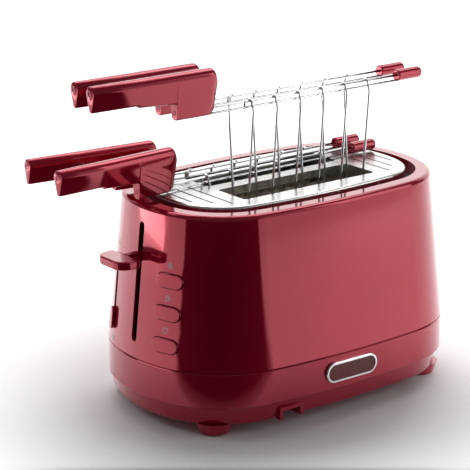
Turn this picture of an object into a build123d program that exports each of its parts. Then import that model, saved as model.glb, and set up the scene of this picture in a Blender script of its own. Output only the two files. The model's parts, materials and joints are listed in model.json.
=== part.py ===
"""Two-slice pop-up toaster with two lift-out sandwich tongs, built piece by piece.

Frame: millimetres, +Z up, feet on Z = 0.
+X runs along the body, away from the end with the lever and buttons.
+Y runs across the body, from the side with the badge to the other side.
The dimensions below are measured from the middle of the body. The saved pieces are shifted
together, so that their origin is under the middle of the box round the whole toaster.
"""

import math
import os

from build123d import *

# ---- Driving dimensions -------------------------------------------------------------------

# Middle of the box round the whole toaster, with its lever and tongs, from the body's middle
BOX_MIDDLE_X = -30.884
BOX_MIDDLE_Y = -0.948

# Plan outline of the body at its widest: end, corner and side arcs that meet tangentially
HALF_LENGTH = 142.3
HALF_WIDTH = 91.3
END_RADIUS = 121.9
CORNER_X = 65.5
CORNER_Y = 12.6

# Heights of the body's layers
BASE_Z = 9.0
BAND_Z = 24.3
SHELL_Z = 52.3
LEDGE_Z = 161.5
RIM_Z = 171.5
PLATE_Z = 173.3
SEAM = 0.4
WALL = 2.5
SHELL_TAPER = 5.88
FLOOR_Z = BASE_Z + WALL
BASE_INSET = 3.0
BASE_FLARE = 3.4

# Insets of the top's rings from the body outline
RIM_INNER = 24.0
PLATE_INSET = 32.3
PLATE_EDGE_RADIUS = 2.0
LEDGE_INNER = 35.0
SHEET = 1.0

# Vent slits across each end of the top plate: distance from the middle, and length
VENTS = ((78.5, 86.0), (89.5, 67.0), (100.5, 42.0))
VENT_WIDTH = 1.6

# Bread slots, centred on Y = -SLOT_Y and Y = +SLOT_Y
SLOT_Y = 23.25
SLOT_LENGTH = 130.0
SLOT_WIDTH = 34.5
SLOT_LIP = 6.0

# Lever, carriage and its travel
LEVER_Z = 132.2
LEVER_SLOT_BOTTOM = 65.0
LEVER_SLOT_TOP = 158.7
LEVER_SLOT_WIDTH = 6.2
STEM_THICKNESS = 3.0
STEM_HEIGHT = 5.0
KNOB_FRONT_X = -164.0
KNOB_BACK_X = -143.2
KNOB_WIDTH = 34.4
KNOB_HEIGHT = 6.8
NECK_WIDTH = 4.8
NECK_END_X = -126.0
ROD_X = -84.0
ROD_RADIUS = 2.5
ROD_TOP = 168.0
BUSH_FIT = 0.05
RACK_Z = 100.0
RACK_WIRE = 1.25
RUNG_WIRE = 1.1
RACK_HALF_WIDTH = 14.5

# Buttons and browning control, on the lever's end
BUTTON_Y = -33.0
BUTTON_HEIGHTS = {"defrost": 119.8, "reheat": 94.8, "cancel": 69.8}
BUTTON_WIDTH = 23.3
BUTTON_HEIGHT = 11.3
BUTTON_GAP = 0.5
BUTTON_INNER_X = -121.3
BUTTON_PROUD = 1.1
BUTTON_EDGE = 0.8
BROWNING_Y = 35.0
BROWNING_LOW = 73.5
BROWNING_TRAVEL = 44.0
BROWNING_SLOT_WIDTH = 5.0

# Chassis inside the body
FRAME_X = 69.0
FRAME_HALF_WIDTH = 52.0
FRAME_BOTTOM = 18.0
FRAME_TOP = 168.0
HEATER_BOTTOM = 40.0
HEATER_TOP = 160.0
INNER_HEATER_Y = 2.2
OUTER_HEATER_Y = 45.3
MICA = 0.8
REFLECTOR_Y = 49.5
GUARD_OFFSET = 17.9
GUARD_WIRE = 0.6

# Sandwich tongs: one per slot, each two half-frames that share a wire cage
TONG_SHIFT = {"front": 4.0, "rear": -2.0}
TONG_LIFT = {"front": 68.0, "rear": 0.0}
TONG_SPLAY = {"front": 0.0, "rear": 4.5}
TONG_HALF_GAP = 10.25
WIRE = 1.0
TIE_WIRE = 1.2
HOOP_WIRE = 0.9
WIRE_LOW_Z = 174.8
WIRE_HIGH_Z = 179.0
CAGE_FIRST_X = -59.5
CAGE_PITCH = 23.0
CAGE_COUNT = 6
CAGE_DEPTH = 105.0
CAGE_SHOULDER = 5.0
CAGE_BOTTOM_HALF = 7.5
PIVOT_X = -64.0
BLOCK_RIGHT_X = -95.0
BLOCK_LEFT_X = -129.0
BLOCK_BOTTOM_Z = 174.2
GRIP_TOP_Z = 209.5
GRIP_END_X = -202.0
GRIP_WIDTH = 11.0
GRIP_END_HEIGHT = 19.5
GRIP_ROOT_HEIGHT = 22.5
CAP_RADIUS = 4.6
CAP_START_X = 88.0
CAP_END_X = 113.0
CAP_Z = 178.9

# Crumb tray, feet and cord exit
TRAY_HALF_WIDTH = 46.0
TRAY_LEFT_X = -64.0
TRAY_RIGHT_X = 127.0
TRAY_Z = 12.0
FOOT_X = 105.0
FOOT_Y = 54.5
FOOT_RADIUS = 12.5
FOOT_FLARE = 3.0
PAD_RADIUS = 10.0
NOTCH_X = -54.5
NOTCH_WIDTH = 17.0
NOTCH_TOP = 15.8

# ---- Values that follow from the driving dimensions ----------------------------------------

END_X = HALF_LENGTH - END_RADIUS
CORNER_RADIUS = END_RADIUS - math.hypot(CORNER_X - END_X, CORNER_Y)
SIDE_DROP = HALF_WIDTH - CORNER_RADIUS
SIDE_Y = (SIDE_DROP**2 - CORNER_X**2 - CORNER_Y**2) / (2 * (SIDE_DROP - CORNER_Y))
SIDE_RADIUS = HALF_WIDTH - SIDE_Y
END_ANGLE = math.degrees(math.atan2(CORNER_Y, CORNER_X - END_X))
SIDE_ANGLE = math.degrees(math.atan2(CORNER_Y - SIDE_Y, CORNER_X))
SHELL_SLOPE = math.tan(math.radians(SHELL_TAPER))

os.makedirs("parts", exist_ok=True)


def save(name, builder):
    """Shift a finished piece to the shared origin, label it, and write its STEP file."""
    piece = builder.part.moved(Location((-BOX_MIDDLE_X, -BOX_MIDDLE_Y, 0)))
    piece.label = name
    export_step(piece, f"parts/{name}.step")


def body_outline(inset, z):
    """Sketch the body's plan outline, moved in by inset, at height z."""
    with BuildSketch(Plane.XY.offset(z)) as face:
        with BuildLine():
            for side, turn in ((1, 0), (-1, 180)):
                end = (side * END_X, 0)
                CenterArc(end, END_RADIUS - inset, turn - END_ANGLE, 2 * END_ANGLE)
                flank = (0, side * SIDE_Y)
                flank_arc = 180 - 2 * SIDE_ANGLE
                CenterArc(flank, SIDE_RADIUS - inset, turn + SIDE_ANGLE, flank_arc)
                span = SIDE_ANGLE - END_ANGLE
                near = (side * CORNER_X, side * CORNER_Y)
                CenterArc(near, CORNER_RADIUS - inset, turn + END_ANGLE, span)
                far = (side * CORNER_X, -side * CORNER_Y)
                CenterArc(far, CORNER_RADIUS - inset, turn - SIDE_ANGLE, span)
        make_face()
    return face.sketch


def layer(inset, z, height, taper=0, mode=Mode.ADD):
    """Slab of the body's plan outline, moved in by inset, from z up through height."""
    return extrude(body_outline(inset, z), amount=height, taper=taper, mode=mode)


def end_surface_x(y, z):
    """X of the shell's outer face on the lever's end, at the given Y and Z."""
    inset = (z - SHELL_Z) * SHELL_SLOPE
    radius = END_RADIUS - inset
    if abs(y) <= radius * math.sin(math.radians(END_ANGLE)):
        return -END_X - math.sqrt(radius**2 - y**2)
    corner = CORNER_RADIUS - inset
    return -CORNER_X - math.sqrt(corner**2 - (abs(y) - CORNER_Y) ** 2)


def block(low, high, mode=Mode.ADD):
    """Box between two opposite corners."""
    size = [b - a for a, b in zip(low, high)]
    middle = [(a + b) / 2 for a, b in zip(low, high)]
    with Locations(tuple(middle)):
        return Box(*size, mode=mode)


def rod(start, end, radius, mode=Mode.ADD):
    """Round bar from start to end."""
    axis = Vector(*end) - Vector(*start)
    with BuildSketch(Plane(origin=start, z_dir=axis)) as section:
        Circle(radius)
    extrude(section.sketch, amount=axis.length, mode=mode)


# ---- Body: base, band, shell, top plate, badge ----------------------------------------------


def make_base_plate():
    """Base tray with four flared feet, crumb-tray opening and cord channel."""
    base_height = BAND_Z - SEAM - BASE_Z
    foot_height = BASE_Z + 1.0 - 1.2
    foot_taper = math.degrees(math.atan2(FOOT_FLARE, foot_height))
    with BuildPart() as base:
        flare_angle = math.degrees(math.atan2(BASE_FLARE, base_height))
        bottom_inset = BASE_INSET + BASE_FLARE
        layer(bottom_inset, BASE_Z, base_height, taper=-flare_angle)
        fillet(base.edges().group_by(Axis.Z)[0], radius=3.0)
        layer(bottom_inset + WALL, FLOOR_Z, base_height, mode=Mode.SUBTRACT)
        for x in (-FOOT_X, FOOT_X):
            for y in (-FOOT_Y, FOOT_Y):
                with BuildSketch(Plane.XY.offset(1.2)):
                    with Locations((x, y)):
                        Circle(FOOT_RADIUS)
                extrude(amount=foot_height, taper=-foot_taper)
                rod((x, y, 1.2), (x, y, 2.2), PAD_RADIUS, mode=Mode.SUBTRACT)
        # crumb-tray opening through the wall at the far end
        opening = TRAY_HALF_WIDTH + 1.5
        block((110, -opening, FLOOR_Z), (150, opening, 18.5), mode=Mode.SUBTRACT)
        # housing over the cord channel, then the channel itself
        half = NOTCH_WIDTH / 2
        block((NOTCH_X - half - 3, -86, BASE_Z), (NOTCH_X + half + 3, -69, NOTCH_TOP + 3))
        low = (NOTCH_X - half, -100, BASE_Z - 1)
        block(low, (NOTCH_X + half, -73, NOTCH_TOP), mode=Mode.SUBTRACT)
        rod((NOTCH_X, -74, 12.4), (NOTCH_X, -60, 12.4), 2.6, mode=Mode.SUBTRACT)
        # holes for the chassis screws, with recesses for their heads
        for x in (-76, 76):
            for y in (-55, 55):
                rod((x, y, BASE_Z), (x, y, FLOOR_Z), 1.6, mode=Mode.SUBTRACT)
                rod((x, y, BASE_Z), (x, y, BASE_Z + 1.3), 3.3, mode=Mode.SUBTRACT)
    save("base_plate", base)


def make_foot_pads():
    with BuildPart() as pads:
        for x in (-FOOT_X, FOOT_X):
            for y in (-FOOT_Y, FOOT_Y):
                rod((x, y, 0), (x, y, 2.2), PAD_RADIUS)
    save("foot_pads", pads)


def make_chassis_screws():
    """Pan-head screws that hold the end frames down to the base."""
    with BuildPart() as screws:
        for x in (-76, 76):
            for y in (-55, 55):
                rod((x, y, BASE_Z + 0.1), (x, y, BASE_Z + 1.3), 3.0)
                rod((x, y, BASE_Z + 1.3), (x, y, FLOOR_Z + 4.0), 1.5)
    save("chassis_screws", screws)


def make_lower_band():
    """Ring between base and shell that carries the badge."""
    height = SHELL_Z - SEAM - BAND_Z
    with BuildPart() as band:
        layer(0.2, BAND_Z, height)
        outer = band.edges().group_by(Axis.Z)
        chamfer(outer[0] + outer[-1], length=0.7)
        layer(WALL + 0.5, BAND_Z, height, mode=Mode.SUBTRACT)
    save("lower_band", band)


def browning_plane():
    """Plane on the shell at the browning slot: X along the slot, Z out of the shell."""
    middle_z = BROWNING_LOW + BROWNING_TRAVEL / 2
    x = end_surface_x(BROWNING_Y, middle_z)
    lower = end_surface_x(BROWNING_Y, BROWNING_LOW)
    upper = end_surface_x(BROWNING_Y, BROWNING_LOW + BROWNING_TRAVEL)
    along = Vector(upper - lower, 0, BROWNING_TRAVEL).normalized()
    beside = Vector(end_surface_x(BROWNING_Y + 3, middle_z) - x, 3, 0)
    outward = along.cross(beside).normalized()
    if outward.X > 0:
        outward = outward * -1
    return Plane(origin=(x, BROWNING_Y, middle_z), x_dir=along, z_dir=outward)


def make_upper_shell():
    """Tapered outer shell with rim, recess for the top plate, and control openings."""
    height = RIM_Z - SHELL_Z
    with BuildPart() as shell:
        layer(0, SHELL_Z, height, taper=SHELL_TAPER)
        fillet(shell.edges().group_by(Axis.Z)[-1], radius=3.6)
        chamfer(shell.edges().group_by(Axis.Z)[0], length=0.6)
        layer(WALL, SHELL_Z - 0.1, height - 2.4, taper=SHELL_TAPER, mode=Mode.SUBTRACT)
        layer(RIM_INNER - 2.0, LEDGE_Z - 2.0, RIM_Z - LEDGE_Z)
        layer(RIM_INNER, LEDGE_Z, 20, mode=Mode.SUBTRACT)
        layer(LEDGE_INNER, LEDGE_Z - 3.0, 4, mode=Mode.SUBTRACT)
        # lever slot
        slot_height = LEVER_SLOT_TOP - LEVER_SLOT_BOTTOM
        slot_middle = (LEVER_SLOT_TOP + LEVER_SLOT_BOTTOM) / 2
        with BuildSketch(Plane.YZ.offset(-150)):
            with Locations((0, slot_middle)):
                SlotOverall(slot_height, LEVER_SLOT_WIDTH, rotation=90)
        extrude(amount=30, mode=Mode.SUBTRACT)
        # button openings
        with BuildSketch(Plane.YZ.offset(-150)):
            for z in BUTTON_HEIGHTS.values():
                with Locations((BUTTON_Y, z)):
                    SlotOverall(BUTTON_WIDTH + 2 * BUTTON_GAP, BUTTON_HEIGHT + 2 * BUTTON_GAP)
        extrude(amount=32, mode=Mode.SUBTRACT)
        # browning slot
        with BuildSketch(browning_plane().offset(6)):
            SlotOverall(BROWNING_TRAVEL + 10, BROWNING_SLOT_WIDTH)
        extrude(amount=-16, mode=Mode.SUBTRACT)
    save("upper_shell", shell)


def make_top_plate():
    """Pressed steel plate with a rolled edge, two lipped bread slots and vent slits."""
    with BuildPart() as plate:
        layer(PLATE_INSET, LEDGE_Z, PLATE_Z - LEDGE_Z)
        fillet(plate.edges().group_by(Axis.Z)[-1], radius=PLATE_EDGE_RADIUS)
        layer(PLATE_INSET + SHEET, LEDGE_Z, PLATE_Z - SHEET - LEDGE_Z, mode=Mode.SUBTRACT)
        with BuildSketch(Plane.XY.offset(PLATE_Z - SLOT_LIP)):
            with Locations((0, -SLOT_Y), (0, SLOT_Y)):
                RectangleRounded(SLOT_LENGTH + 2 * SHEET, SLOT_WIDTH + 2 * SHEET, 4)
        extrude(amount=SLOT_LIP)
        with BuildSketch(Plane.XY.offset(LEDGE_Z)):
            with Locations((0, -SLOT_Y), (0, SLOT_Y)):
                RectangleRounded(SLOT_LENGTH, SLOT_WIDTH, 3)
            for x, length in VENTS:
                with Locations((-x, 0), (x, 0)):
                    SlotOverall(length, VENT_WIDTH, rotation=90)
        extrude(amount=PLATE_Z - LEDGE_Z, mode=Mode.SUBTRACT)
    save("top_plate", plate)


def make_badge():
    """Plain pill badge: bright ring round a blank inset, without any mark."""
    badge_z = (BAND_Z + SHELL_Z) / 2
    back = Plane(origin=(0, -HALF_WIDTH + 0.1, badge_z), x_dir=(1, 0, 0), z_dir=(0, -1, 0))
    with BuildPart() as ring:
        with BuildSketch(back):
            SlotOverall(51, 16.6)
        extrude(amount=1.9)
        fillet(ring.edges().group_by(Axis.Y)[0], radius=0.8)
        with BuildSketch(back):
            SlotOverall(47.4, 13.0)
        extrude(amount=3, mode=Mode.SUBTRACT)
    save("badge_ring", ring)
    with BuildPart() as inset:
        with BuildSketch(back):
            SlotOverall(47.4, 13.0)
        extrude(amount=1.3)
    save("badge_inset", inset)


# ---- Chassis: end frames, reflectors, heaters, guards ---------------------------------------


def make_end_frame(name, side):
    """Sheet end frame with folded feet and a guide slot for each bread rack."""
    inner = side * FRAME_X
    outer = side * (FRAME_X + SHEET)
    low_x, high_x = sorted((inner, outer))
    with BuildPart() as frame:
        block((low_x, -FRAME_HALF_WIDTH, FRAME_BOTTOM), (high_x, FRAME_HALF_WIDTH, FRAME_TOP))
        for y in (-SLOT_Y, SLOT_Y):
            block((low_x, y - 3, 33), (high_x, y + 3, 128), mode=Mode.SUBTRACT)
        for flank in (-1, 1):
            foot_y = sorted((flank * 49.0, flank * 60.0))
            leg_y = sorted((flank * 49.0, flank * FRAME_HALF_WIDTH))
            block((low_x, leg_y[0], FLOOR_Z), (high_x, leg_y[1], FRAME_BOTTOM))
            foot_x = sorted((inner, side * (FRAME_X + 12)))
            block((foot_x[0], foot_y[0], FLOOR_Z), (foot_x[1], foot_y[1], FLOOR_Z + SHEET))
            hole = (side * 76, flank * 55, FLOOR_Z)
            rod(hole, (hole[0], hole[1], FLOOR_Z + SHEET), 1.5, mode=Mode.SUBTRACT)
    save(name, frame)


def make_reflector(name, y):
    with BuildPart() as panel:
        edge = sorted((y, y + math.copysign(0.8, y)))
        block((-FRAME_X, edge[0], 30), (FRAME_X, edge[1], FRAME_TOP - 2))
    save(name, panel)


def make_heater_board(name, y):
    """Mica board, with shallow notches on both long edges that hold the ribbon."""
    with BuildPart() as board:
        block((-FRAME_X, y - MICA / 2, HEATER_BOTTOM), (FRAME_X, y + MICA / 2, HEATER_TOP))
        for x in ribbon_places():
            for z in (HEATER_BOTTOM, HEATER_TOP):
                block((x - 1.5, y - 1, z - 1), (x + 1.5, y + 1, z + 1), mode=Mode.SUBTRACT)
    save(name, board)


def ribbon_places():
    """X of each turn of heater ribbon."""
    return [-54 + 12 * turn for turn in range(10)]


def make_heater_ribbons():
    """Flat resistance ribbon, one closed turn per notch, round all four boards."""
    with BuildPart() as ribbons:
        for y in (-OUTER_HEATER_Y, -INNER_HEATER_Y, INNER_HEATER_Y, OUTER_HEATER_Y):
            for x in ribbon_places():
                with BuildSketch(Plane.YZ.offset(x - 0.7)):
                    with Locations((y, (HEATER_BOTTOM + HEATER_TOP) / 2)):
                        Rectangle(1.6, HEATER_TOP - HEATER_BOTTOM - 1.0)
                        Rectangle(1.0, HEATER_TOP - HEATER_BOTTOM - 1.6, mode=Mode.SUBTRACT)
                extrude(amount=1.4)
    save("heater_ribbons", ribbons)


def make_guard_grids():
    """Welded wire guards that keep bread off the heaters, one on each side of each slot."""
    with BuildPart() as guards:
        for slot in (-SLOT_Y, SLOT_Y):
            for y in (slot - GUARD_OFFSET, slot + GUARD_OFFSET):
                for z in (50, 150):
                    rod((-FRAME_X, y, z), (FRAME_X, y, z), GUARD_WIRE)
                for x in (-46, -23, 0, 23, 46):
                    rod((x, y, 26), (x, y, 164), GUARD_WIRE)
    save("guard_grids", guards)


# ---- Carriage and what drives it ------------------------------------------------------------


def make_guide_rod():
    with BuildPart() as guide:
        rod((ROD_X, 0, FLOOR_Z), (ROD_X, 0, ROD_TOP), ROD_RADIUS)
    save("guide_rod", guide)
    with BuildPart() as bracket:
        block((ROD_X - 6, -8, ROD_TOP - 3.5), (-FRAME_X - SHEET, 8, ROD_TOP - 2))
        block((-FRAME_X - 2 * SHEET, -8, ROD_TOP - 14), (-FRAME_X - SHEET, 8, ROD_TOP - 2))
        rod((ROD_X, 0, ROD_TOP - 5), (ROD_X, 0, ROD_TOP), ROD_RADIUS, mode=Mode.SUBTRACT)
    save("rod_bracket", bracket)


def make_return_spring():
    """Compression spring on the guide rod that lifts the carriage."""
    bottom = FLOOR_Z + 1.0
    top = RACK_Z - 3.0
    turns = 16
    with BuildPart() as spring:
        with BuildLine():
            path = Helix(pitch=(top - bottom) / turns, height=top - bottom, radius=4.4,
                         center=(ROD_X, 0, bottom))
        with BuildSketch(Plane(origin=path @ 0, z_dir=path % 0)):
            Circle(0.5)
        sweep()
    save("return_spring", spring)


def make_slider():
    """Sheet-metal slider: rack web, bush plate, and the fin whose stem carries the knob."""
    with BuildPart() as slider:
        block((-78, -28, RACK_Z - 4), (-76.5, 28, RACK_Z + 8))
        block((-106, -14, RACK_Z + 6.5), (-76.5, 14, RACK_Z + 8))
        half = STEM_THICKNESS / 2
        low, high = LEVER_Z - STEM_HEIGHT / 2, LEVER_Z + STEM_HEIGHT / 2
        block((-106, -half, RACK_Z + 8), (-96, half, high))
        block((KNOB_FRONT_X + 8, -half, low), (-96, half, high))
        hole = (ROD_X, 0, RACK_Z + 6)
        rod(hole, (ROD_X, 0, RACK_Z + 9), 6.0, mode=Mode.SUBTRACT)
    save("lever_slider", slider)
    with BuildPart() as bush:
        rod((ROD_X, 0, RACK_Z - 2), (ROD_X, 0, RACK_Z + 24), 6.0)
        rod((ROD_X, 0, RACK_Z - 2), (ROD_X, 0, RACK_Z + 6.5), 7.5)
        bore = ROD_RADIUS + BUSH_FIT
        rod((ROD_X, 0, RACK_Z - 3), (ROD_X, 0, RACK_Z + 25), bore, mode=Mode.SUBTRACT)
        block((ROD_X + 5.9, -9, RACK_Z - 3), (ROD_X + 9, 9, RACK_Z + 6.6), mode=Mode.SUBTRACT)
    save("slider_bush", bush)
    with BuildPart() as armature:
        block((-105, -11, RACK_Z + 3.5), (-93, 11, RACK_Z + 6.5))
    save("armature_plate", armature)


def make_lever_knob():
    """Flat thumb pad with rounded front corners, necked down to the stem behind it."""
    bottom = LEVER_Z - KNOB_HEIGHT / 2
    with BuildPart() as knob:
        with BuildSketch(Plane.XY.offset(bottom)) as outline:
            with Locations(((KNOB_FRONT_X + KNOB_BACK_X) / 2, 0)):
                Rectangle(KNOB_BACK_X - KNOB_FRONT_X, KNOB_WIDTH)
            fillet(outline.vertices().group_by(Axis.X)[0], radius=10)
            fillet(outline.vertices().group_by(Axis.X)[-1], radius=6)
        extrude(amount=KNOB_HEIGHT)
        fillet(knob.edges().group_by(Axis.Z)[-1], radius=1.6)
        fillet(knob.edges().group_by(Axis.Z)[0], radius=1.2)
        # shallow thumb hollow behind the top face
        with BuildSketch(Plane.XZ.offset(-KNOB_WIDTH)):
            with Locations((KNOB_BACK_X + 1.0, bottom + 14.2)):
                Circle(9.5)
        extrude(amount=2 * KNOB_WIDTH, mode=Mode.SUBTRACT)
        neck = NECK_WIDTH / 2
        block((KNOB_BACK_X - 3, -neck, bottom), (NECK_END_X, neck, bottom + KNOB_HEIGHT))
        half = STEM_THICKNESS / 2
        low, high = LEVER_Z - STEM_HEIGHT / 2, LEVER_Z + STEM_HEIGHT / 2
        block((KNOB_FRONT_X + 8, -half, low), (NECK_END_X, half, high), mode=Mode.SUBTRACT)
    save("lever_knob", knob)


def make_bread_rack(name, slot):
    """Welded wire ladder: its rungs pass between the wires of the slot's cage."""
    shift = TONG_SHIFT[slot]
    y = -SLOT_Y if slot == "front" else SLOT_Y
    left, right = -65.5, 64.5
    with BuildPart() as rack:
        for flank in (-RACK_HALF_WIDTH, RACK_HALF_WIDTH):
            rod((left, y + flank, RACK_Z), (right, y + flank, RACK_Z), RACK_WIRE)
        for number in range(CAGE_COUNT - 1):
            x = CAGE_FIRST_X + shift + CAGE_PITCH * (number + 0.5)
            rod((x, y - RACK_HALF_WIDTH, RACK_Z), (x, y + RACK_HALF_WIDTH, RACK_Z), RUNG_WIRE)
        for x in (left, right):
            ends = (y - RACK_HALF_WIDTH - 2, y + RACK_HALF_WIDTH + 2)
            block((x - 0.6, ends[0], RACK_Z - 3), (x + 0.6, ends[1], RACK_Z + 3))
        block((-76.5, y - 1.5, RACK_Z - 3), (left, y + 1.5, RACK_Z + 3))
        block((right, y - 1.5, RACK_Z - 3), (FRAME_X + 4, y + 1.5, RACK_Z + 3))
    save(name, rack)


# ---- Electrics ------------------------------------------------------------------------------


def make_electrics():
    with BuildPart() as core:
        block((-105, -11, FLOOR_Z), (-93, 11, 41.2))
        for y in (-7.2, 3.2):
            block((-105, y, 17), (-93, y + 4, 41.2), mode=Mode.SUBTRACT)
    save("magnet_core", core)
    with BuildPart() as coil:
        block((-109, -6.6, 18), (-89.6, 6.6, 35.5))
        block((-105.2, -3.2, 18), (-92.8, 3.2, 35.5), mode=Mode.SUBTRACT)
    save("magnet_coil", coil)
    with BuildPart() as board:
        block((-112, -52, 52), (-110.4, -18, 136))
    save("control_board", board)
    with BuildPart() as switches:
        for z in BUTTON_HEIGHTS.values():
            block((-116, BUTTON_Y - 3, z - 3), (-112, BUTTON_Y + 3, z + 3))
            rod((-118.2, BUTTON_Y, z), (-116, BUTTON_Y, z), 1.6)
    save("button_switches", switches)
    with BuildPart() as relay:
        block((-110.4, -48, 96), (-95, -32, 116))
        rod((-110.4, -40, 72), (-98, -40, 72), 6)
        rod((-110.4, -28, 88), (-100, -28, 88), 4)
    save("relay_and_capacitors", relay)
    with BuildPart() as switch:
        block((-106, 18, FLOOR_Z), (-92, 30, 36))
        block((-104, 20, 36), (-94, 28, 38.5))
    save("power_switch", switch)
    with BuildPart() as terminals:
        block((-66, -68, FLOOR_Z), (-44, -57, 26))
        for x in (-60, -50):
            rod((x, -62.5, 18), (x, -62.5, 27), 2.4, mode=Mode.SUBTRACT)
    save("terminal_block", terminals)
    with BuildPart() as gland:
        rod((NOTCH_X, -74.8, 12.4), (NOTCH_X, -68.2, 12.4), 2.6)
        rod((NOTCH_X, -76.0, 12.4), (NOTCH_X, -73.0, 12.4), 3.3)
        rod((NOTCH_X, -77, 12.4), (NOTCH_X, -68, 12.4), 1.9, mode=Mode.SUBTRACT)
    save("cord_gland", gland)


# ---- Buttons and browning control -----------------------------------------------------------


def make_button(name, z):
    """Pill button whose face follows the shell, with retaining tabs inside."""
    with BuildPart() as button:
        layer(-BUTTON_PROUD, SHELL_Z, RIM_Z - SHELL_Z, taper=SHELL_TAPER)
        with BuildSketch(Plane.YZ.offset(-160)):
            with Locations((BUTTON_Y, z)):
                SlotOverall(BUTTON_WIDTH, BUTTON_HEIGHT)
        extrude(amount=160 + BUTTON_INNER_X, mode=Mode.INTERSECT)
        fillet(button.faces().sort_by(Axis.X)[0].edges(), radius=BUTTON_EDGE)
        reach = BUTTON_HEIGHT / 2 + 1.6
        block((-124.5, BUTTON_Y - 5, z - reach), (-122.5, BUTTON_Y + 5, z + reach))
    save(name, button)


def make_browning_control():
    """Slide knob on its stem, and the slide potentiometer behind it."""
    slot = browning_plane()
    low = -BROWNING_TRAVEL / 2
    with BuildPart() as knob:
        with BuildSketch(slot.offset(0.5)):
            with Locations((low, 0)):
                SlotOverall(18, 7)
        extrude(amount=2.4)
        fillet(knob.edges().sort_by_distance(slot.offset(4).origin + slot.x_dir * low)[0:2], radius=0.8)
        with BuildSketch(slot.offset(-11)):
            with Locations((low, 0)):
                Rectangle(6, 2.4)
        extrude(amount=12)
    save("browning_knob", knob)
    with BuildPart() as slider:
        with BuildSketch(slot.offset(-22)):
            Rectangle(BROWNING_TRAVEL + 20, 9)
        extrude(amount=10)
    save("browning_potentiometer", slider)


# ---- Crumb tray -----------------------------------------------------------------------------


def make_crumb_tray():
    """Shallow pan that slides out at the far end, with a curved handle flush with the base."""
    with BuildPart() as pan:
        low = (TRAY_LEFT_X, -TRAY_HALF_WIDTH, TRAY_Z)
        block(low, (TRAY_RIGHT_X, TRAY_HALF_WIDTH, TRAY_Z + 4.5))
        inner = (TRAY_LEFT_X + 0.8, -TRAY_HALF_WIDTH + 0.8, TRAY_Z + 0.8)
        block(inner, (TRAY_RIGHT_X - 0.8, TRAY_HALF_WIDTH - 0.8, TRAY_Z + 6), mode=Mode.SUBTRACT)
    save("crumb_tray", pan)
    with BuildPart() as front:
        layer(BASE_INSET + 0.6, TRAY_Z, 6.0)
        low = (TRAY_RIGHT_X, -TRAY_HALF_WIDTH, TRAY_Z)
        block(low, (150, TRAY_HALF_WIDTH, TRAY_Z + 6), mode=Mode.INTERSECT)
    save("crumb_tray_front", front)
    with BuildPart() as rails:
        for side in (-1, 1):
            y = sorted((side * (TRAY_HALF_WIDTH + 0.6), side * (TRAY_HALF_WIDTH + 1.8)))
            block((-66, y[0], FLOOR_Z), (118, y[1], TRAY_Z + 5))
    save("tray_rails", rails)


# ---- Sandwich tongs -------------------------------------------------------------------------


def tong_place(slot):
    """X shift, Y of the slot's middle and lift of one tong as it stands at rest."""
    middle_y = -SLOT_Y if slot == "front" else SLOT_Y
    return TONG_SHIFT[slot], middle_y, TONG_LIFT[slot]


def make_cage(slot):
    """Cage of one tong: long carrying wires, hooped basket wires, and end caps."""
    dx, y, lift = tong_place(slot)
    start, stop = PIVOT_X + dx, CAP_START_X + dx + 12
    with BuildPart() as rails:
        for side in (-1, 1):
            for z in (WIRE_LOW_Z + lift, WIRE_HIGH_Z + lift):
                line = y + side * TONG_HALF_GAP
                rod((start, line, z), (stop, line, z), WIRE)
            # upright tie on the line about which this half's grip flexes
            foot = WIRE_LOW_Z + lift - TIE_WIRE
            rod((start, line, foot), (start, line, WIRE_HIGH_Z + lift + TIE_WIRE), TIE_WIRE)
    save(f"{slot}_cage_rails", rails)
    top = WIRE_HIGH_Z + lift
    shoulder = top - 7.0
    bottom = top - CAGE_DEPTH
    wide = TONG_HALF_GAP + CAGE_SHOULDER
    over = TONG_HALF_GAP + 0.2
    hoop = [
        (-over + 1.4, top + 1.7), (-over - 1.8, top + 1.0), (-wide, shoulder),
        (-CAGE_BOTTOM_HALF, bottom), (CAGE_BOTTOM_HALF, bottom), (wide, shoulder),
        (over + 1.8, top + 1.0), (over - 1.4, top + 1.7),
    ]
    bends = [3.0, 12.0, 4.0, 4.0, 12.0, 3.0]
    with BuildPart() as hoops:
        for number in range(CAGE_COUNT):
            x = CAGE_FIRST_X + dx + CAGE_PITCH * number
            side_on = Plane(origin=(x, y, 0), x_dir=(0, 1, 0), z_dir=(1, 0, 0))
            with BuildLine(side_on) as path:
                FilletPolyline(*hoop, radius=bends)
            wire = path.wires()[0]
            with BuildSketch(Plane(origin=wire @ 0, z_dir=wire % 0)):
                Circle(HOOP_WIRE)
            sweep(path=wire)
    save(f"{slot}_cage_hoops", hoops)
    with BuildPart() as caps:
        for side in (-1, 1):
            line = y + side * TONG_HALF_GAP
            middle = CAP_Z + lift
            rod((CAP_START_X + dx, line, middle), (CAP_END_X + dx, line, middle), CAP_RADIUS)
        fillet(caps.edges().group_by(Axis.X)[-1], radius=3.0)
        fillet(caps.edges().group_by(Axis.X)[0], radius=0.8)
        for side in (-1, 1):
            line = y + side * TONG_HALF_GAP
            for z in (WIRE_LOW_Z + lift, WIRE_HIGH_Z + lift):
                rod((start, line, z), (stop, line, z), WIRE, mode=Mode.SUBTRACT)
    save(f"{slot}_tong_caps", caps)


def grip_plane(slot, side):
    """Plane along one grip: X towards the cage, Y up, origin on its spring pivot."""
    dx, y, lift = tong_place(slot)
    splay = math.radians(TONG_SPLAY[slot]) * -side
    origin = (PIVOT_X + dx, y + side * TONG_HALF_GAP, lift)
    along = (math.cos(splay), math.sin(splay), 0)
    across = (math.sin(splay), -math.cos(splay), 0)
    return Plane(origin=origin, x_dir=along, z_dir=across)


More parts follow.
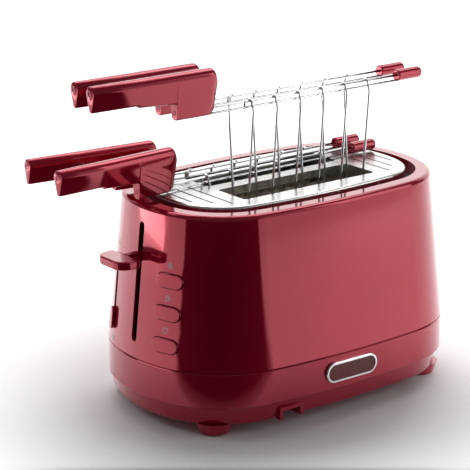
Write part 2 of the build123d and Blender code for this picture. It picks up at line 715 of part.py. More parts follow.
def make_grip(slot, side, name):
    """Handle half: long bar of teardrop section that drops into a block over the wires."""
    upright = grip_plane(slot, side)
    right = BLOCK_RIGHT_X - PIVOT_X
    left = BLOCK_LEFT_X - PIVOT_X
    end = GRIP_END_X - PIVOT_X
    profile = [
        (end, GRIP_TOP_Z), (right + 4.5, GRIP_TOP_Z), (right, BLOCK_BOTTOM_Z),
        (left, BLOCK_BOTTOM_Z), (left, GRIP_TOP_Z - GRIP_ROOT_HEIGHT),
        (end + 42, GRIP_TOP_Z - GRIP_END_HEIGHT - 1.6), (end + 41, GRIP_TOP_Z - GRIP_END_HEIGHT),
        (end, GRIP_TOP_Z - GRIP_END_HEIGHT),
    ]
    with BuildPart() as grip:
        with BuildSketch(upright.offset(-GRIP_WIDTH / 2)) as flank:
            with BuildLine():
                Polyline(*profile, close=True)
            make_face()
            shoulder = flank.vertices().sort_by_distance((right + 4.5, GRIP_TOP_Z))[0]
            fillet(shoulder, radius=5)
            root = flank.vertices().sort_by_distance((left, GRIP_TOP_Z - GRIP_ROOT_HEIGHT))[0]
            fillet(root, radius=4)
        extrude(amount=GRIP_WIDTH)
    save(f"{slot}_{name}_grip", grip)
    with BuildPart() as wires:
        for z in (WIRE_LOW_Z, WIRE_HIGH_Z):
            start = upright.from_local_coords((right - 20, z, 0))
            stop = upright.from_local_coords((-TIE_WIRE - 0.15, z, 0))
            rod(start, stop, WIRE)
    save(f"{slot}_{name}_grip_wires", wires)


# ---- Build every piece ----------------------------------------------------------------------

make_base_plate()
make_foot_pads()
make_chassis_screws()
make_lower_band()
make_upper_shell()
make_top_plate()
make_badge()
make_end_frame("left_end_frame", -1)
make_end_frame("right_end_frame", 1)
make_reflector("front_reflector", -REFLECTOR_Y)
make_reflector("rear_reflector", REFLECTOR_Y)
make_heater_board("front_outer_heater_board", -OUTER_HEATER_Y)
make_heater_board("front_inner_heater_board", -INNER_HEATER_Y)
make_heater_board("rear_inner_heater_board", INNER_HEATER_Y)
make_heater_board("rear_outer_heater_board", OUTER_HEATER_Y)
make_heater_ribbons()
make_guard_grids()
make_guide_rod()
make_return_spring()
make_slider()
make_lever_knob()
make_bread_rack("front_bread_rack", "front")
make_bread_rack("rear_bread_rack", "rear")
make_electrics()
for button_name, button_z in BUTTON_HEIGHTS.items():
    make_button(f"{button_name}_button", button_z)
make_browning_control()
make_crumb_tray()
for slot_name in ("front", "rear"):
    make_cage(slot_name)
    make_grip(slot_name, -1, "near")
    make_grip(slot_name, 1, "far")
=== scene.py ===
"""Looks of the pop-up toaster: materials, detailed grips and wires, marks, floor, lights, camera.

Everything is in metres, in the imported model's frame: +X along the body away from the lever,
+Y away from the badge side, +Z up, feet on Z = 0.
"""

import json
import math

import bmesh
import bpy
from mathutils import Matrix, Vector
from mathutils.bvhtree import BVHTree


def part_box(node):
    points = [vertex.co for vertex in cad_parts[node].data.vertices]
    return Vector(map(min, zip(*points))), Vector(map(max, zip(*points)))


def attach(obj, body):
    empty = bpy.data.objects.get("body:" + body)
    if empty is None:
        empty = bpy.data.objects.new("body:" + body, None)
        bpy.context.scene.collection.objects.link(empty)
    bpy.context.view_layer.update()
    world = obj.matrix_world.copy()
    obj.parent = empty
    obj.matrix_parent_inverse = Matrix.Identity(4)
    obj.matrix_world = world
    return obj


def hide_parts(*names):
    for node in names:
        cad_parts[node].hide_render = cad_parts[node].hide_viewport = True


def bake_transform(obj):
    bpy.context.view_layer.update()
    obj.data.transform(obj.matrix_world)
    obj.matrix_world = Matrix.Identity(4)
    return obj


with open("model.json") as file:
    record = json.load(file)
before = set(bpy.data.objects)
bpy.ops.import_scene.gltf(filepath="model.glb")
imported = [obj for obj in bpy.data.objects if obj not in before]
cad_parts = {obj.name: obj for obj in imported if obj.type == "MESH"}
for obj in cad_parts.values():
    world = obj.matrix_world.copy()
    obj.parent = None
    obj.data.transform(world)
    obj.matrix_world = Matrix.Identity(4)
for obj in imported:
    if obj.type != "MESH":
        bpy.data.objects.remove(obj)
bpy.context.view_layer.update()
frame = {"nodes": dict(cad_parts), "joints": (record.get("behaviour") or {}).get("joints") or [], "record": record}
NODES = frame["nodes"]
MM = 0.001


# ---- Material building blocks ---------------------------------------------------------------


class Nodes:
    """Small helper that adds and links shader nodes in one material."""

    def __init__(self, name):
        self.material = bpy.data.materials.new(name)
        self.material.use_nodes = True
        self.tree = self.material.node_tree
        self.tree.nodes.clear()
        self.shader = self.add("ShaderNodeBsdfPrincipled")
        output = self.add("ShaderNodeOutputMaterial")
        self.link(self.shader.outputs[0], output.inputs["Surface"])
        self.place = self.add("ShaderNodeTexCoord").outputs["Object"]

    def add(self, kind, **values):
        node = self.tree.nodes.new(kind)
        for key, value in values.items():
            setattr(node, key, value)
        return node

    def link(self, source, target):
        self.tree.links.new(source, target)

    def set(self, **values):
        """Set plain values on the Principled shader's own sockets."""
        for key, value in values.items():
            self.shader.inputs[key.replace("_", " ")].default_value = value

    def stretched(self, scale):
        """Object coordinates, scaled by a different factor along each axis."""
        mapping = self.add("ShaderNodeMapping")
        mapping.inputs["Scale"].default_value = scale
        self.link(self.place, mapping.inputs["Vector"])
        return mapping.outputs["Vector"]

    def noise(self, scale, detail=3.0, stretch=None, roughness=0.5):
        node = self.add("ShaderNodeTexNoise")
        node.inputs["Scale"].default_value = scale
        node.inputs["Detail"].default_value = detail
        node.inputs["Roughness"].default_value = roughness
        self.link(self.stretched(stretch) if stretch else self.place, node.inputs["Vector"])
        return node.outputs["Fac"]

    def ramp(self, source, low, high, start=0.3, stop=0.7):
        """Map a 0 to 1 value onto a range between two colours or two grey levels."""
        node = self.add("ShaderNodeValToRGB")
        for element, position, value in zip(node.color_ramp.elements, (start, stop), (low, high)):
            element.position = position
            grey = isinstance(value, (int, float))
            element.color = (value, value, value, 1) if grey else (*value, 1)
        self.link(source, node.inputs["Fac"])
        return node.outputs["Color"]

    def maths(self, operation, first, second=None):
        """One Math node; second may be a socket or a plain number."""
        node = self.add("ShaderNodeMath", operation=operation)
        self.link(first, node.inputs[0])
        if isinstance(second, float):
            node.inputs[1].default_value = second
        elif second is not None:
            self.link(second, node.inputs[1])
        return node.outputs[0]

    def bump(self, source, strength, distance, normal=None):
        node = self.add("ShaderNodeBump")
        node.inputs["Strength"].default_value = strength
        node.inputs["Distance"].default_value = distance
        self.link(source, node.inputs["Height"])
        if normal is not None:
            self.link(normal, node.inputs["Normal"])
        return node.outputs["Normal"]

    def colour(self, source):
        self.link(source, self.shader.inputs["Base Color"])

    def roughness(self, source):
        self.link(source, self.shader.inputs["Roughness"])

    def normal(self, source):
        self.link(source, self.shader.inputs["Normal"])


def glossy_red(name, dark, light, low_rough, high_rough):
    """High-gloss ruby plastic: fine flake under clear lacquer, slight flow and mould ripple."""
    m = Nodes(name)
    m.colour(m.ramp(m.noise(9, 4), dark, light))
    m.roughness(m.ramp(m.noise(70, 5), low_rough, high_rough))
    m.normal(m.bump(m.noise(22, 2), 0.04, 0.0005))
    m.set(Metallic=0.42, IOR=1.4, Coat_Weight=0.8, Coat_Roughness=0.025, Coat_IOR=1.45)
    return m.material


def brushed_steel(name, dark, light, rough, along=(1, 60, 60), bump=0.10):
    """Steel with long fine brush lines along X and slight blotches."""
    m = Nodes(name)
    lines = m.noise(55, 6, stretch=along, roughness=0.7)
    m.colour(m.ramp(m.noise(18, 5), dark, light))
    m.roughness(m.ramp(lines, rough * 0.75, rough * 1.35))
    m.normal(m.bump(lines, bump, 0.0004))
    m.set(Metallic=1.0)
    return m.material


def polished_wire(name, dark, light, rough):
    """Plated wire: bright, with faint draw lines and dull spots."""
    m = Nodes(name)
    m.colour(m.ramp(m.noise(60, 4), dark, light))
    m.roughness(m.ramp(m.noise(240, 3), rough * 0.7, rough * 1.5))
    m.normal(m.bump(m.noise(500, 2), 0.05, 0.0002))
    m.set(Metallic=1.0)
    return m.material


def moulded(name, dark, light, rough, grain=900, strength=0.2):
    """Plain moulded plastic or rubber with fine grain."""
    m = Nodes(name)
    m.colour(m.ramp(m.noise(30, 4), dark, light))
    m.roughness(m.ramp(m.noise(120, 3), rough * 0.85, min(rough * 1.15, 1)))
    m.normal(m.bump(m.noise(grain, 2), strength, 0.0002))
    return m.material


def coil_winding(name):
    """Enamelled copper turns round the solenoid."""
    m = Nodes(name)
    wave = m.add("ShaderNodeTexWave")
    wave.bands_direction = "Z"
    wave.inputs["Scale"].default_value = 900
    m.link(m.place, wave.inputs["Vector"])
    m.colour(m.ramp(wave.outputs["Fac"], (0.23, 0.07, 0.02), (0.62, 0.26, 0.09)))
    m.roughness(m.ramp(m.noise(90), 0.25, 0.4))
    m.normal(m.bump(wave.outputs["Fac"], 0.5, 0.0004))
    m.set(Metallic=0.6)
    return m.material


def mica_sheet(name):
    """Mica: flaky, grey-gold layers."""
    m = Nodes(name)
    flakes = m.add("ShaderNodeTexVoronoi")
    flakes.inputs["Scale"].default_value = 160
    m.link(m.place, flakes.inputs["Vector"])
    m.colour(m.ramp(flakes.outputs["Distance"], (0.34, 0.27, 0.17), (0.62, 0.54, 0.40)))
    m.roughness(m.ramp(m.noise(80), 0.35, 0.6))
    m.normal(m.bump(flakes.outputs["Distance"], 0.15, 0.0003))
    return m.material


RED_DARK, RED_LIGHT = (0.38, 0.002, 0.026), (0.45, 0.003, 0.031)
MATERIALS = {
    "red_gloss": glossy_red("red_gloss", RED_DARK, RED_LIGHT, 0.07, 0.12),
    "brushed_plate": brushed_steel("brushed_plate", (0.60, 0.59, 0.57), (0.76, 0.75, 0.73), 0.24),
    "sheet_steel": brushed_steel("sheet_steel", (0.38, 0.38, 0.38), (0.58, 0.58, 0.57), 0.38),
    "chrome_wire": polished_wire("chrome_wire", (0.62, 0.62, 0.64), (0.86, 0.86, 0.87), 0.12),
    "rack_wire": polished_wire("rack_wire", (0.36, 0.36, 0.36), (0.62, 0.62, 0.62), 0.28),
    "badge_chrome": polished_wire("badge_chrome", (0.80, 0.80, 0.82), (0.93, 0.93, 0.94), 0.08),
    "badge_blank": moulded("badge_blank", (0.11, 0.003, 0.006), (0.16, 0.005, 0.01), 0.3, 400),
    "rubber": moulded("rubber", (0.018, 0.018, 0.018), (0.04, 0.04, 0.04), 0.75),
    "mica": mica_sheet("mica"),
    "ribbon": brushed_steel("ribbon", (0.26, 0.20, 0.17), (0.46, 0.38, 0.33), 0.42),
    "screw_steel": polished_wire("screw_steel", (0.45, 0.45, 0.46), (0.66, 0.66, 0.67), 0.3),
    "board_green": moulded("board_green", (0.01, 0.10, 0.04), (0.02, 0.17, 0.07), 0.35, 300),
    "black_plastic": moulded("black_plastic", (0.012, 0.012, 0.012), (0.03, 0.03, 0.03), 0.45),
    "white_plastic": moulded("white_plastic", (0.66, 0.64, 0.58), (0.78, 0.76, 0.70), 0.45),
    "copper_coil": coil_winding("copper_coil"),
}
MARK_INK = moulded("mark_ink", (0.62, 0.60, 0.60), (0.74, 0.72, 0.72), 0.5, 500, 0.1)


# the shell's level faces between these heights are the floor of the channel round the top plate
CHANNEL_LOW, CHANNEL_HIGH = 0.150, 0.166
LEVEL = 0.9


def dress_cad_nodes():
    """Give every CAD node the procedural material of its slot."""
    for row in frame["record"]["subparts"]:
        mesh = NODES[row["node"]].data
        mesh.materials.clear()
        mesh.materials.append(MATERIALS[row["material_slot"]])
    # that channel is partly dark, unpolished plastic and partly painted shade: its floor is given near-black
    # plastic for the shade of the deep recess
    shell = NODES["upper_shell"].data
    shell.materials.append(MATERIALS["black_plastic"])
    for face in shell.polygons:
        if face.normal.z > LEVEL and CHANNEL_LOW < face.center.z < CHANNEL_HIGH:
            face.material_index = 1


# ---- Mesh helpers ---------------------------------------------------------------------------


def new_piece(name, mesh, material, body, replaced=()):
    """Link a mesh object, dress it, and let it ride on body, or on none."""
    piece = bpy.data.objects.new(name, mesh)
    bpy.context.scene.collection.objects.link(piece)
    mesh.materials.clear()
    mesh.materials.append(material)
    for face in mesh.polygons:
        face.use_smooth = True
    if body:
        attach(piece, body)
    for node in replaced:
        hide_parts(node)
    return piece


def lofted(name, rings):
    """Mesh skinned over closed rings of equal point count, capped at both ends."""
    mesh = bpy.data.meshes.new(name)
    bm = bmesh.new()
    loops = [[bm.verts.new(point) for point in ring] for ring in rings]
    count = len(loops[0])
    for first, second in zip(loops, loops[1:]):
        for i in range(count):
            j = (i + 1) % count
            bm.faces.new((first[i], first[j], second[j], second[i]))
    bm.faces.new(list(reversed(loops[0])))
    bm.faces.new(loops[-1])
    bmesh.ops.recalc_face_normals(bm, faces=bm.faces)
    bm.to_mesh(mesh)
    bm.free()
    return mesh


dress_cad_nodes()


# ---- Tong grips: long round-topped bar over a block, one mesh per grip ------------------------

SLOTS = ("front", "rear")
SIDES = {"near": -1, "far": 1}
BAR_RADIUS = 5.5 * MM
BAR_DEPTH = 19.5 * MM
LOWER_CORNER = 1.9 * MM
# the underside steps down by STEP_DEPTH at STEP_BACK from the end, then deepens to the block
STEP_BACK = 41 * MM
STEP_DEPTH = 1.6 * MM
ROOT_DEPTH = 3.0 * MM
# block, by its X from the grip's pivot; its far edge leans by BLOCK_LEAN towards the top
BLOCK_LEFT = -65 * MM
BLOCK_RIGHT = -31 * MM
BLOCK_LEAN = 4.5 * MM
BLOCK_SHOULDER = 9 * MM
END_ROUND = 6.5 * MM
# how fast the sides close in towards the underside, at the grip's end and at the block
END_SLOPE = 0.235
BLOCK_SLOPE = 0.075
END_SCREW = 2.3 * MM
BLOCK_SCREW = 1.7 * MM
BLOCK_SCREW_RISE = 5.5 * MM


def joint_named(name):
    return next(joint for joint in frame["joints"] if joint["name"] == name)


def grip_axes(slot, side):
    """Pivot of one grip, the matrix that turns it to its splay at rest, and that splay."""
    joint = joint_named(f"{slot}_{side}_squeeze")
    sign = SIDES[side]
    limits = joint["range_deg"]
    splay = math.radians(-limits[0] if sign < 0 else limits[1])
    pivot = Vector(joint["pos_m"])
    return pivot, Matrix.Rotation(-sign * splay, 4, "Z"), splay


def grip_section(top, bottom, slope, shrink=0.0):
    """Points (y, z): round top, flat sides that close in by slope, rounded lower corners."""
    radius = BAR_RADIUS - shrink
    high = top - BAR_RADIUS
    lean = math.atan(slope)
    points = []
    for i in range(20):
        angle = -lean + (math.pi + 2 * lean) * i / 19
        points.append((radius * math.cos(angle), high + radius * math.sin(angle)))
    reach = (BAR_RADIUS - slope * (high - bottom)) / math.cos(lean)
    inner = max(reach - LOWER_CORNER, 0.05 * MM)
    bend = LOWER_CORNER - shrink
    for side, start in ((-1, math.pi + lean), (1, 1.5 * math.pi)):
        for i in range(10):
            angle = start + (math.pi / 2 - lean) * i / 9
            y = side * inner + bend * math.cos(angle)
            points.append((y, bottom + LOWER_CORNER + bend * math.sin(angle)))
    return points


def grip_stations(reach, top, block_foot):
    """Sections along a grip: (x, top, bottom, side slope, shrink, lean)."""
    left, right = BLOCK_LEFT, BLOCK_RIGHT
    bar_foot = top - BAR_DEPTH
    root = bar_foot - ROOT_DEPTH
    stepped = bar_foot - STEP_DEPTH
    step = reach + STEP_BACK

    def slope_at(x):
        share = min(max((x - reach) / (left - reach), 0), 1)
        return END_SLOPE + (BLOCK_SLOPE - END_SLOPE) * share

    # rounded end of the bar, then the step in its underside
    rows = [
        (reach, top, bar_foot, END_SLOPE, 0.9 * MM, 0),
        (reach + 0.25 * MM, top, bar_foot, END_SLOPE, 0.35 * MM, 0),
        (reach + 0.9 * MM, top, bar_foot, END_SLOPE, 0, 0),
        (step - 0.5 * MM, top, bar_foot, slope_at(step), 0, 0),
        (step + 0.3 * MM, top, stepped, slope_at(step), 0, 0),
    ]
    for part in range(1, 6):
        x = step + (left - 1.2 * MM - step) * part / 5
        drop = (root - bar_foot + STEP_DEPTH) * part / 5
        rows.append((x, top, stepped + drop, slope_at(x), 0, 0))
    # corner where the bar meets the block's upright face
    rows.append((left - 0.3 * MM, top, root - 0.8 * MM, BLOCK_SLOPE, 0, 0))
    rows.append((left, top, block_foot + BLOCK_SHOULDER, BLOCK_SLOPE, 0, 0))
    rows.append((left + 0.05 * MM, top, block_foot + 0.8 * MM, BLOCK_SLOPE, 0, 0))
    rows.append((left + 0.8 * MM, top, block_foot, BLOCK_SLOPE, 0, 0))
    for part in range(1, 7):
        share = part / 6
        x = left + (right - END_ROUND - left) * share
        rows.append((x, top, block_foot, BLOCK_SLOPE, 0, BLOCK_LEAN * share))
    # rounded end of the block
    for part in range(1, 9):
        angle = math.radians(88) * part / 8
        x = right - END_ROUND + END_ROUND * math.sin(angle)
        drop = END_ROUND * (1 - math.cos(angle))
        low = block_foot + drop * 0.25
        shrink = min(drop * 0.5, 1.8 * MM)
        rows.append((x, top - drop * 0.9, low, BLOCK_SLOPE, shrink, BLOCK_LEAN))
    return rows


def make_grip(slot, side):
    """Handle half of one tong, replacing the plain CAD grip of the same place."""
    node = f"{slot}_{side}_grip"
    low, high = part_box(node)
    pivot, turn, splay = grip_axes(slot, side)
    reach = (low.x - pivot.x) / math.cos(splay)
    top, foot = high.z, low.z
    rings = []
    for x, ring_top, ring_foot, slope, shrink, tilt in grip_stations(reach, top, foot):
        ring = []
        for y, z in grip_section(ring_top, ring_foot, slope, shrink):
            shift = tilt * (z - foot) / (top - foot)
            ring.append(turn @ Vector((x + shift, y, z - pivot.z)) + pivot)
        rings.append(ring)
    mesh = lofted(f"{node}_shape", rings)
    piece = new_piece(f"{node}_moulded", mesh, MATERIALS["red_gloss"], node, [node])
    piece.data.set_sharp_from_angle(angle=math.radians(38))
    for name, x, z, radius in (
        ("end_screw", reach, top - BAR_RADIUS, END_SCREW),
        ("block_screw", BLOCK_LEFT, foot + BLOCK_SCREW_RISE, BLOCK_SCREW),
    ):
        place = turn @ Vector((x, 0, z - pivot.z)) + pivot
        make_screw_eye(f"{node}_{name}", place, turn, radius, node)


def make_screw_eye(name, place, turn, radius, body):
    """Small countersunk ring with a recessed cross-head screw, facing the handle's end.

    Each profile pair is depth and reach from the screw's middle, as shares of its radius.
    """
    profile = [
        (0.10, 1.00), (-0.16, 1.06), (-0.20, 0.92), (-0.14, 0.80),
        (0.10, 0.72), (0.06, 0.66), (-0.02, 0.40), (0.06, 0.22), (0.30, 0.12),
    ]
    spokes = 24
    rings = []
    for depth, reach in profile:
        ring = []
        for i in range(spokes):
            angle = math.tau * i / spokes
            cross = 1 - 0.25 * (reach < 0.3) * (math.cos(4 * angle) < 0)
            out = radius * reach * cross
            local = Vector((depth * radius, out * math.cos(angle), out * math.sin(angle)))
            ring.append(turn.to_3x3() @ local + place)
        rings.append(ring)
    mesh = lofted(name, rings)
    new_piece(name, mesh, MATERIALS["red_gloss"], body)


# ---- Tong wires: continuous from grip to end cap, bent where the grip flexes -----------------

WIRE_RADIUS = 1.0 * MM
TIE_RADIUS = 1.2 * MM
FLEX = 12 * MM


def tube_rings(path, radius, sides=12):
    """Rings of a round bar along a path of points, with no twist."""
    rings = []
    for index, point in enumerate(path):
        ahead = path[min(index + 1, len(path) - 1)]
        behind = path[max(index - 1, 0)]
        along = (ahead - behind).normalized()
        across = along.cross(Vector((0, 0, 1))).normalized()
        upward = across.cross(along)
        ring = []
        for i in range(sides):
            angle = math.tau * i / sides
            sideways, up = radius * math.cos(angle), radius * math.sin(angle)
            ring.append(point + across * sideways + upward * up)
        rings.append(ring)
    return rings


def joined(name, meshes):
    """One mesh made of several."""
    bm = bmesh.new()
    for mesh in meshes:
        bm.from_mesh(mesh)
        bpy.data.meshes.remove(mesh)
    result = bpy.data.meshes.new(name)
    bm.to_mesh(result)
    bm.free()
    return result


def make_tong_wires(slot, side):
    """Upper and lower carrying wire of one half, as one piece that bends at the pivot."""
    rails, stubs = f"{slot}_cage_rails", f"{slot}_{side}_grip_wires"
    rail_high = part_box(rails)[1]
    stub_low, stub_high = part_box(stubs)
    pivot, turn, splay = grip_axes(slot, side)
    slope = SIDES[side] * -math.tan(splay)
    start = stub_low.x - pivot.x
    stop = rail_high.x - pivot.x
    places = [start, -2 * FLEX, -FLEX]
    places += [FLEX * (step / 6 - 1) for step in range(1, 12)]
    places += [FLEX, 2 * FLEX, stop / 2, stop]
    meshes = []
    for z in (stub_low.z + WIRE_RADIUS, stub_high.z - WIRE_RADIUS):
        path = []
        for x in places:
            if x <= -FLEX:
                y = slope * x
            elif x >= FLEX:
                y = 0.0
            else:
                y = -slope * (FLEX - x) ** 2 / (4 * FLEX)
            path.append(Vector((pivot.x + x, pivot.y + y, z)))
        meshes.append(lofted("wire", tube_rings(path, WIRE_RADIUS)))
    mesh = joined(f"{slot}_{side}_wires", meshes)
    piece = new_piece(
        f"{slot}_{side}_wires", mesh, MATERIALS["chrome_wire"], None,
        [rails, stubs],
    )
    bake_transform(piece)


def make_wire_tie(slot, side):
    """Upright tie between the two wires of one half, on the line about which it flexes."""
    pivot = grip_axes(slot, side)[0]
    low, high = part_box(f"{slot}_cage_rails")
    path = [Vector((pivot.x, pivot.y, low.z + (high.z - low.z) * step / 6)) for step in range(7)]
    rings = []
    for index, point in enumerate(path):
        radius = TIE_RADIUS * (0.55 if index in (0, 6) else 1.0)
        turns = [math.tau * i / 16 for i in range(16)]
        rings.append([point + Vector((math.cos(a), math.sin(a), 0)) * radius for a in turns])
    mesh = lofted(f"{slot}_{side}_tie", rings)
    new_piece(f"{slot}_{side}_tie", mesh, MATERIALS["chrome_wire"], f"{slot}_tong")


for slot_name in SLOTS:
    for side_name in SIDES:
        make_grip(slot_name, side_name)
        make_tong_wires(slot_name, side_name)
        make_wire_tie(slot_name, side_name)


# ---- Printed marks beside the controls -------------------------------------------------------

SHELL_TREE = BVHTree.FromPolygons(
    [v.co.copy() for v in NODES["upper_shell"].data.vertices],
    [tuple(p.vertices) for p in NODES["upper_shell"].data.polygons],
)


def on_shell(y, z):
    """Point on the shell's outer face at the lever's end, seen along +X."""
    hit = SHELL_TREE.ray_cast(Vector((-1, y, z)), Vector((1, 0, 0)))
    return hit[0]


def printed_mark(name, strokes, y, z, width):
    """Thin raised ink: each stroke is a list of (right, up) points in millimetres."""
    mesh = bpy.data.meshes.new(name)
    bm = bmesh.new()
    ink = 0.07 * MM
    for stroke in strokes:
        points = []
        for a, b in zip(stroke, stroke[1:]):
            for step in range(3):
                points.append(Vector(a).lerp(Vector(b), step / 3))
        points.append(Vector(stroke[-1]))
        rows = []
        for index, point in enumerate(points):
            along = points[min(index + 1, len(points) - 1)] - points[max(index - 1, 0)]
            if stroke[0] == stroke[-1] and index in (0, len(points) - 1):
                along = points[1] - points[-2]
            across = Vector((-along.y, along.x)).normalized() * width / 2
            row = []
            for edge in (point - across, point + across):
                spot = on_shell(y - edge.x * MM, z + edge.y * MM)
                row.append(bm.verts.new(spot - Vector((ink, 0, 0))))
                row.append(bm.verts.new(spot + Vector((ink, 0, 0))))
            rows.append(row)
        for first, second in zip(rows, rows[1:]):
            for a, b in ((0, 2), (2, 3), (3, 1), (1, 0)):
                bm.faces.new((first[a], first[b], second[b], second[a]))
        bm.faces.new((rows[0][0], rows[0][1], rows[0][3], rows[0][2]))
        bm.faces.new((rows[-1][0], rows[-1][2], rows[-1][3], rows[-1][1]))
    bmesh.ops.recalc_face_normals(bm, faces=bm.faces)
    bm.to_mesh(mesh)
    bm.free()
    new_piece(name, mesh, MARK_INK, "body")


def arc(radius, start, stop, steps, centre=(0, 0)):
    """Points along a circular arc, angles in degrees."""
    points = []
    for i in range(steps + 1):
        angle = math.radians(start + (stop - start) * i / steps)
        across, up = radius * math.cos(angle), radius * math.sin(angle)
        points.append((centre[0] + across, centre[1] + up))
    return points


def snowflake():
    """Six arms, each with a pair of short barbs."""
    strokes = []
    for arm in range(6):
        angle = math.radians(90 + 60 * arm)
        tip = (2.6 * math.cos(angle), 2.6 * math.sin(angle))
        fork = (1.6 * math.cos(angle), 1.6 * math.sin(angle))
        strokes.append([(0, 0), tip])
        for turn in (-45, 45):
            barb = angle + math.radians(turn)
            end = (fork[0] + 0.8 * math.cos(barb), fork[1] + 0.8 * math.sin(barb))
            strokes.append([fork, end])
    return strokes


def heat_waves():
    """Three rising waves over a line."""
    strokes = [[(-2.6, -2.1), (2.6, -2.1)]]
    for x in (-1.6, 0.0, 1.6):
        wave = [(x + 0.4 * math.sin(math.tau * i / 10), -1.2 + 3.6 * i / 10) for i in range(11)]
        strokes.append(wave)
    return strokes


def bread_outline():
    """Small slice of bread for the ends of the browning scale."""
    crust = arc(1.0, 0, 100, 5, (1.0, 1.1)) + arc(1.0, 80, 180, 5, (-1.0, 1.1))
    sides = [(-1.5, 0.6), (-1.5, -1.9), (1.5, -1.9), (1.5, 0.6)]
    return [crust + sides + [crust[0]]]


ICON_RISE = 11.8 * MM
ICON_STROKE, SCALE_STROKE = 0.6, 0.5
SCALE_GAP = 7 * MM
for button, strokes in (
    ("defrost", snowflake()), ("reheat", heat_waves()), ("cancel", [arc(2.1, 0, 360, 28)]),
):
    button_low, button_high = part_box(f"{button}_button")
    button_middle = (button_low + button_high) / 2
    icon_z = button_middle.z + ICON_RISE
    printed_mark(f"{button}_mark", strokes, button_middle.y, icon_z, ICON_STROKE)
scale_low, scale_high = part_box("browning_knob")
scale_y = (scale_low.y + scale_high.y) / 2
BROWNING_RUN = joint_named("browning_slide")["range_m"][1]
light_z = scale_high.z + BROWNING_RUN + SCALE_GAP
dark_z = scale_low.z - SCALE_GAP
printed_mark("browning_light_mark", bread_outline(), scale_y, light_z, SCALE_STROKE)
dark_fill = bread_outline() + [[(-0.9, x), (0.9, x)] for x in (-1.3, -0.6, 0.1, 0.8)]
printed_mark("browning_dark_mark", dark_fill, scale_y, dark_z, SCALE_STROKE)


# ---- Floor, light, camera -------------------------------------------------------------------

CAMERA_AZIMUTH = -37.553
CAMERA_ELEVATION = 16.980
CAMERA_DISTANCE = 1.5626
CAMERA_TARGET = Vector((-0.01239, 0.00095, 0.1316))
CAMERA_LENS = 152.9

FLOOR_FRONT, FLOOR_BACK, FLOOR_HALF = 2.4, 1.5, 3.0
COVE_RADIUS, COVE_TOP = 0.6, 2.4
HEADING = Matrix.Rotation(math.radians(CAMERA_AZIMUTH), 4, "Z")
# the floor is pale but for a near-black wedge of painted shade in front, which glossy faces reflect
FLOOR_PALE, FLOOR_PAINTED_SHADE = 0.86, 0.02
WEDGE_SPREAD = 1.15


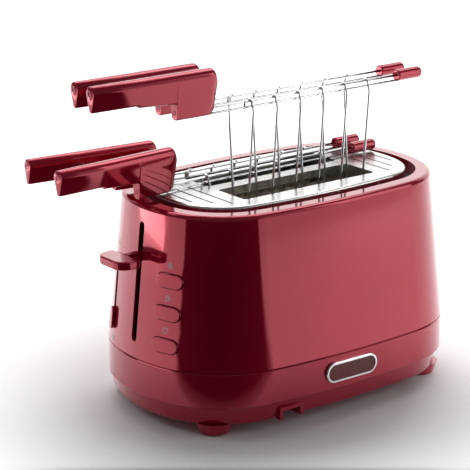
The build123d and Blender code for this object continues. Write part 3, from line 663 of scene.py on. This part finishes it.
def make_stage():
    """Pale floor, curving up behind; near black in a wedge of painted shade in front, and glowing with painted
    light away from 0, 0.
    """
    profile = [(-FLOOR_FRONT, 0.0), (FLOOR_BACK, 0.0)]
    for step in range(1, 13):
        angle = math.radians(90 * step / 12)
        rise = COVE_RADIUS * (1 - math.cos(angle))
        profile.append((FLOOR_BACK + COVE_RADIUS * math.sin(angle), rise))
    profile.append((FLOOR_BACK + COVE_RADIUS, COVE_TOP))
    mesh = bpy.data.meshes.new("studio_floor")
    corners = [(x, y, z) for y, z in profile for x in (-FLOOR_HALF, FLOOR_HALF)]
    faces = [(2 * i, 2 * i + 1, 2 * i + 3, 2 * i + 2) for i in range(len(profile) - 1)]
    mesh.from_pydata(corners, [], faces)
    for face in mesh.polygons:
        face.use_smooth = True
    floor = bpy.data.objects.new("studio_floor", mesh)
    bpy.context.scene.collection.objects.link(floor)
    floor.matrix_world = HEADING
    m = Nodes("studio_floor")
    split = m.add("ShaderNodeSeparateXYZ")
    m.link(m.place, split.inputs["Vector"])
    beside = m.maths("ABSOLUTE", split.outputs["X"])
    front = m.maths("MULTIPLY", split.outputs["Y"], -1.0)
    # painted shade: a near-black wedge on the floor in front, starting some 0.16 m out from 0, 0
    wedge = m.maths("SUBTRACT", m.maths("MULTIPLY", front, WEDGE_SPREAD), beside)
    near = m.ramp(front, 0.0, 1.0, 0.155, 0.19)
    inside = m.ramp(wedge, 0.0, 1.0, -0.06, 0.06)
    shade = m.maths("MULTIPLY", near, inside)
    m.colour(m.ramp(shade, FLOOR_PALE, FLOOR_PAINTED_SHADE, 0.0, 1.0))
    # painted light: the floor glows, not at all near 0, 0 and more further out, but not in the wedge of painted
    # shade
    far = m.add("ShaderNodeVectorMath", operation="LENGTH")
    m.link(m.place, far.inputs[0])
    painted_glow = m.maths("SUBTRACT", m.ramp(far.outputs["Value"], 0.0, 0.7, 0.13, 0.3), shade)
    m.link(m.maths("MAXIMUM", painted_glow, 0.0), m.shader.inputs["Emission Color"])
    m.set(Emission_Strength=1.0, Roughness=0.9, Specular_IOR_Level=0.1)
    mesh.materials.append(m.material)


def panel(name, place, size, energy, aim=(0.0, 0.0, 0.1)):
    """Soft studio panel, placed and aimed in the camera's heading."""
    data = bpy.data.lights.new(name, "AREA")
    data.shape = "RECTANGLE"
    data.size, data.size_y = size
    data.energy = energy
    light = bpy.data.objects.new(name, data)
    bpy.context.scene.collection.objects.link(light)
    light.visible_camera = False
    light.location = HEADING @ Vector(place)
    direction = HEADING @ Vector(aim) - light.location
    light.rotation_euler = direction.to_track_quat("-Z", "Y").to_euler()


def make_camera():
    azimuth, elevation = math.radians(CAMERA_AZIMUTH), math.radians(CAMERA_ELEVATION)
    back = Vector((
        math.sin(azimuth) * math.cos(elevation),
        -math.cos(azimuth) * math.cos(elevation),
        math.sin(elevation),
    ))
    data = bpy.data.cameras.new("camera")
    data.lens = CAMERA_LENS
    data.sensor_width = 36
    data.clip_end = 50
    camera = bpy.data.objects.new("camera", data)
    bpy.context.scene.collection.objects.link(camera)
    camera.location = CAMERA_TARGET + back * CAMERA_DISTANCE
    camera.rotation_euler = back.to_track_quat("Z", "Y").to_euler()
    bpy.context.scene.camera = camera


def make_lights():
    world = bpy.data.worlds.new("studio")
    bpy.context.scene.world = world
    world.use_nodes = True
    sky = world.node_tree.nodes["Background"]
    sky.inputs["Color"].default_value = (1, 1, 1, 1)
    sky.inputs["Strength"].default_value = 0.14
    # places are in the camera's heading: right, away, up
    panel("left_strip", (-1.0, 0.06, 0.03), (0.62, 0.06), 0.45)
    panel("left_softbox", (-1.1, 0.1, 0.95), (0.6, 0.6), 2.4)
    panel("right_softbox", (1.15, -0.12, 0.45), (0.45, 0.8), 2.1)
    panel("right_fill", (1.05, -0.5, 0.45), (0.5, 0.8), 0.5)
    panel("top_softbox", (0.1, 0.7, 1.6), (1.8, 1.0), 8)
    panel("back_wash", (0.0, 1.0, 1.9), (2.4, 0.8), 16, aim=(0.0, 1.6, 0.0))


bpy.context.scene.view_settings.view_transform = "Standard"
make_stage()
make_camera()
make_lights()
